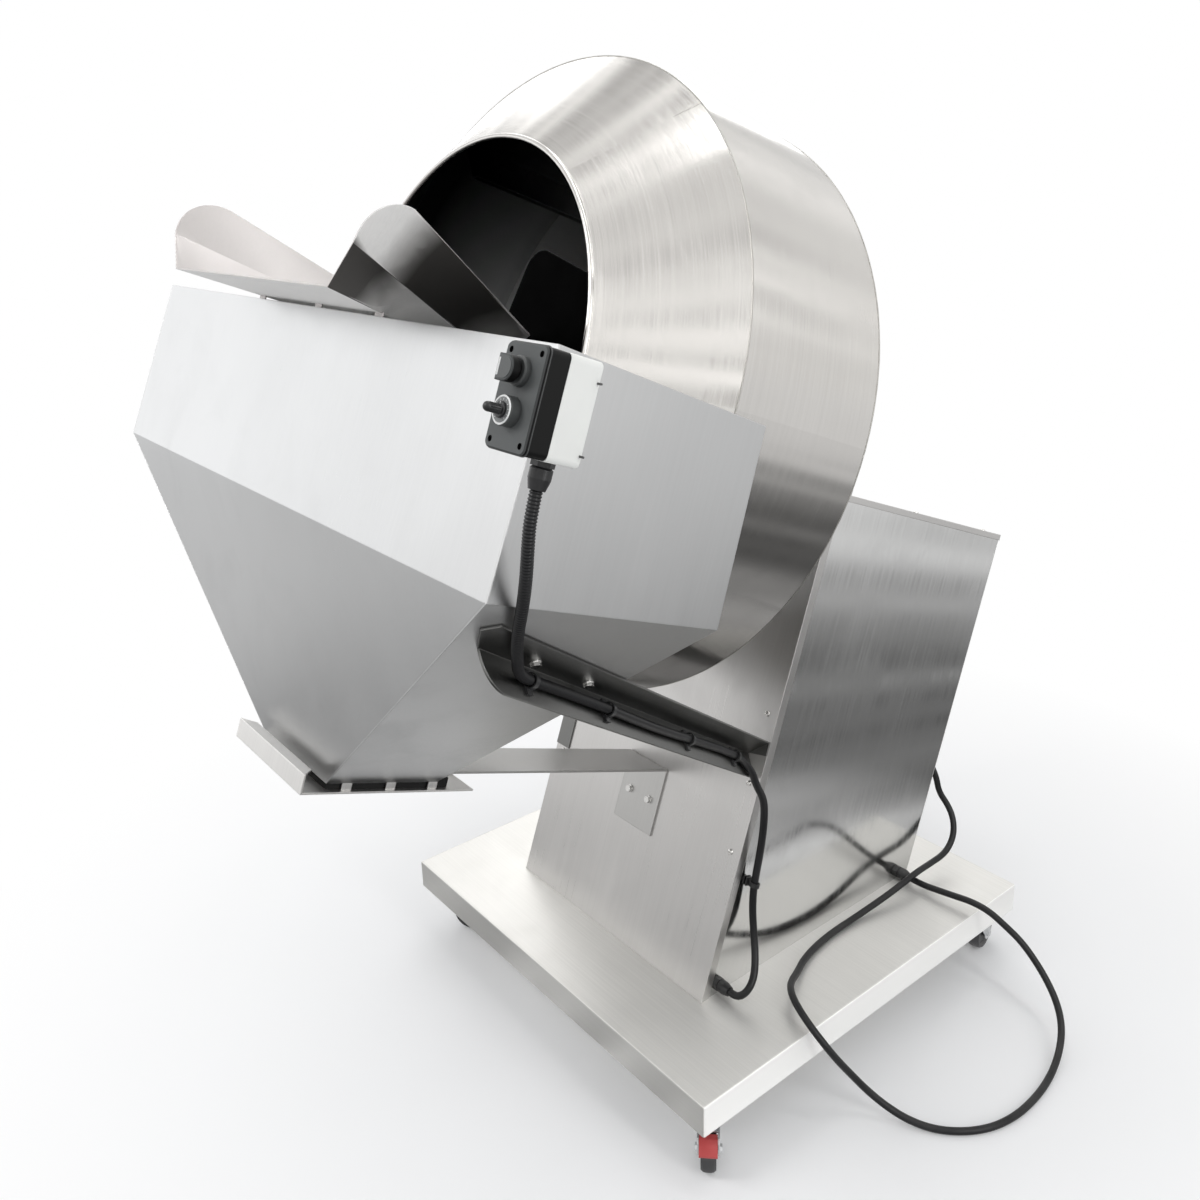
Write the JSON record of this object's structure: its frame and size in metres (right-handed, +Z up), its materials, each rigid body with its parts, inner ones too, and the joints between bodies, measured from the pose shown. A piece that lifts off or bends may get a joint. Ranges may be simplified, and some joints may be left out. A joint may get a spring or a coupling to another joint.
{
  "type": "salt mixer",
  "caption": "Tumbling salt mixer: an inclined open stainless drum on a wheeled cabinet, with a feed chute, a catch hopper under the drum mouth and a control station.",
  "frame": {"origin": "middle of the base tray, on the floor under the casters", "axes": "+Z up; -Y to the front, where the drum opens and the hopper hangs; +X to the right, the side of the control station and the cord"},
  "size_m": [1.2881, 1.8264, 1.7817],
  "materials": {
    "deck_steel": "brushed stainless steel with light scratches",
    "frame_steel": "mill finish stainless tube",
    "zinc": "bright zinc plated steel",
    "wheel_tread": "dark polyurethane tread",
    "brake_red": "moulded red pedal",
    "cabinet_steel": "finely ground stainless sheet",
    "bright_steel": "polished stainless steel",
    "cast_grey": "painted cast iron",
    "gear_alloy": "die-cast alloy",
    "motor_paint": "blue-grey machine paint",
    "drive_plastic": "dark moulded case",
    "drum_steel": "satin stainless sheet brushed round the drum",
    "hopper_steel": "satin stainless sheet",
    "bracket_steel": "satin stainless flat bar",
    "chute_steel": "polished stainless sheet",
    "ivory_plastic": "light grey moulded housing",
    "grey_plastic": "dark grey moulded cover",
    "collar_plastic": "black collars",
    "button_plastic": "dark grey button",
    "black_plastic": "black polyamide",
    "black_conduit": "black corrugated conduit",
    "black_cord": "black rubber sheath"
  },
  "bodies": {
    "machine": {"base_tray": "deck_steel", "base_frame": "frame_steel", "caster_plates": "zinc", "front_panel": "cabinet_steel", "side_panel_right": "cabinet_steel", "side_panel_left": "cabinet_steel", "back_cover": "cabinet_steel", "lid": "cabinet_steel", "cover_screws": "bright_steel", "inner_frame": "frame_steel", "bearing_plates": "frame_steel", "bearings": "cast_grey", "drive_bolts": "zinc", "gearbox": "gear_alloy", "motor": "motor_paint", "motor_drive": "drive_plastic", "drive_hood": "cabinet_steel", "hopper_side_right": "hopper_steel", "hopper_side_left": "hopper_steel", "hopper_front": "hopper_steel", "hopper_rear": "hopper_steel", "outlet_plate": "bracket_steel", "centre_strap": "bracket_steel", "support_arm_right": "bracket_steel", "support_arm_left": "bracket_steel", "support_bolts": "bright_steel", "chute": "chute_steel", "station_bracket": "bracket_steel", "station_housing": "ivory_plastic", "station_cover": "grey_plastic", "station_collars": "collar_plastic", "conduit_glands": "black_plastic", "cord_gland": "black_plastic", "conduit": "black_conduit", "conduit_clips": "black_plastic", "power_cord": "black_cord", "cord_coil": "black_cord", "cord_plug": "black_plastic", "cord_hook": "bracket_steel"},
    "drum": {"drum_front_cone": "drum_steel", "drum_barrel": "drum_steel", "drum_rear_cone": "drum_steel", "drum_back": "drum_steel", "drum_flights": "drum_steel", "drum_scoop": "drum_steel", "drum_hub": "bright_steel", "hub_bolts": "bright_steel", "drive_shaft": "bright_steel"},
    "push_button_body": {"push_button": "button_plastic"},
    "speed_knob_body": {"speed_knob": "black_plastic"},
    "caster_fl": {"caster_fork_fl": "zinc"},
    "wheel_fl": {"caster_wheel_fl": "wheel_tread"},
    "caster_fr": {"caster_fork_fr": "zinc"},
    "wheel_fr": {"caster_wheel_fr": "wheel_tread"},
    "caster_rl": {"caster_fork_rl": "zinc"},
    "wheel_rl": {"caster_wheel_rl": "wheel_tread"},
    "caster_rr": {"caster_fork_rr": "zinc"},
    "wheel_rr": {"caster_wheel_rr": "wheel_tread"},
    "pedal_fl": {"caster_pedal_fl": "brake_red"},
    "pedal_fr": {"caster_pedal_fr": "brake_red"}
  },
  "joints": [
    {"name": "drum_spin", "type": "hinge", "parent": "machine", "child": "drum", "pos_m": [0, -0.30698, 1.26213], "axis": [0, -0.9367, 0.3502], "continuous": true},
    {"name": "swivel_fl", "type": "hinge", "parent": "machine", "child": "caster_fl", "pos_m": [-0.4, -0.39, 0.09], "axis": [0, 0, 1], "continuous": true},
    {"name": "roll_fl", "type": "hinge", "parent": "caster_fl", "child": "wheel_fl", "pos_m": [-0.37702, -0.37072, 0.0375], "axis": [-0.6428, 0.766, 0], "continuous": true},
    {"name": "brake_fl", "type": "hinge", "parent": "caster_fl", "child": "pedal_fl", "pos_m": [-0.35863, -0.35529, 0.08], "axis": [-0.6428, 0.766, 0], "range_deg": [0, 12]},
    {"name": "swivel_fr", "type": "hinge", "parent": "machine", "child": "caster_fr", "pos_m": [0.4, -0.39, 0.09], "axis": [0, 0, 1], "continuous": true},
    {"name": "roll_fr", "type": "hinge", "parent": "caster_fr", "child": "wheel_fr", "pos_m": [0.42121, -0.41121, 0.0375], "axis": [0.7071, 0.7071, 0], "continuous": true},
    {"name": "brake_fr", "type": "hinge", "parent": "caster_fr", "child": "pedal_fr", "pos_m": [0.43818, -0.42818, 0.08], "axis": [0.7071, 0.7071, 0], "range_deg": [0, 12]},
    {"name": "swivel_rl", "type": "hinge", "parent": "machine", "child": "caster_rl", "pos_m": [-0.4, 0.39, 0.09], "axis": [0, 0, 1], "continuous": true},
    {"name": "roll_rl", "type": "hinge", "parent": "caster_rl", "child": "wheel_rl", "pos_m": [-0.38974, 0.41819, 0.0375], "axis": [-0.9397, 0.342, 0], "continuous": true},
    {"name": "swivel_rr", "type": "hinge", "parent": "machine", "child": "caster_rr", "pos_m": [0.4, 0.39, 0.09], "axis": [0, 0, 1], "continuous": true},
    {"name": "roll_rr", "type": "hinge", "parent": "caster_rr", "child": "wheel_rr", "pos_m": [0.39479, 0.41954, 0.0375], "axis": [-0.9848, -0.1736, 0], "continuous": true},
    {"name": "button_push", "type": "slide", "parent": "machine", "child": "push_button_body", "axis": [0, 0.9367, -0.3502], "range_m": [0, 0.004], "stiffness_N_per_m": 400, "springref_m": -0.001},
    {"name": "knob_turn", "type": "hinge", "parent": "machine", "child": "speed_knob_body", "pos_m": [0.622, -0.86276, 1.38896], "axis": [0, -0.9367, 0.3502], "range_deg": [-135, 135]}
  ]
}
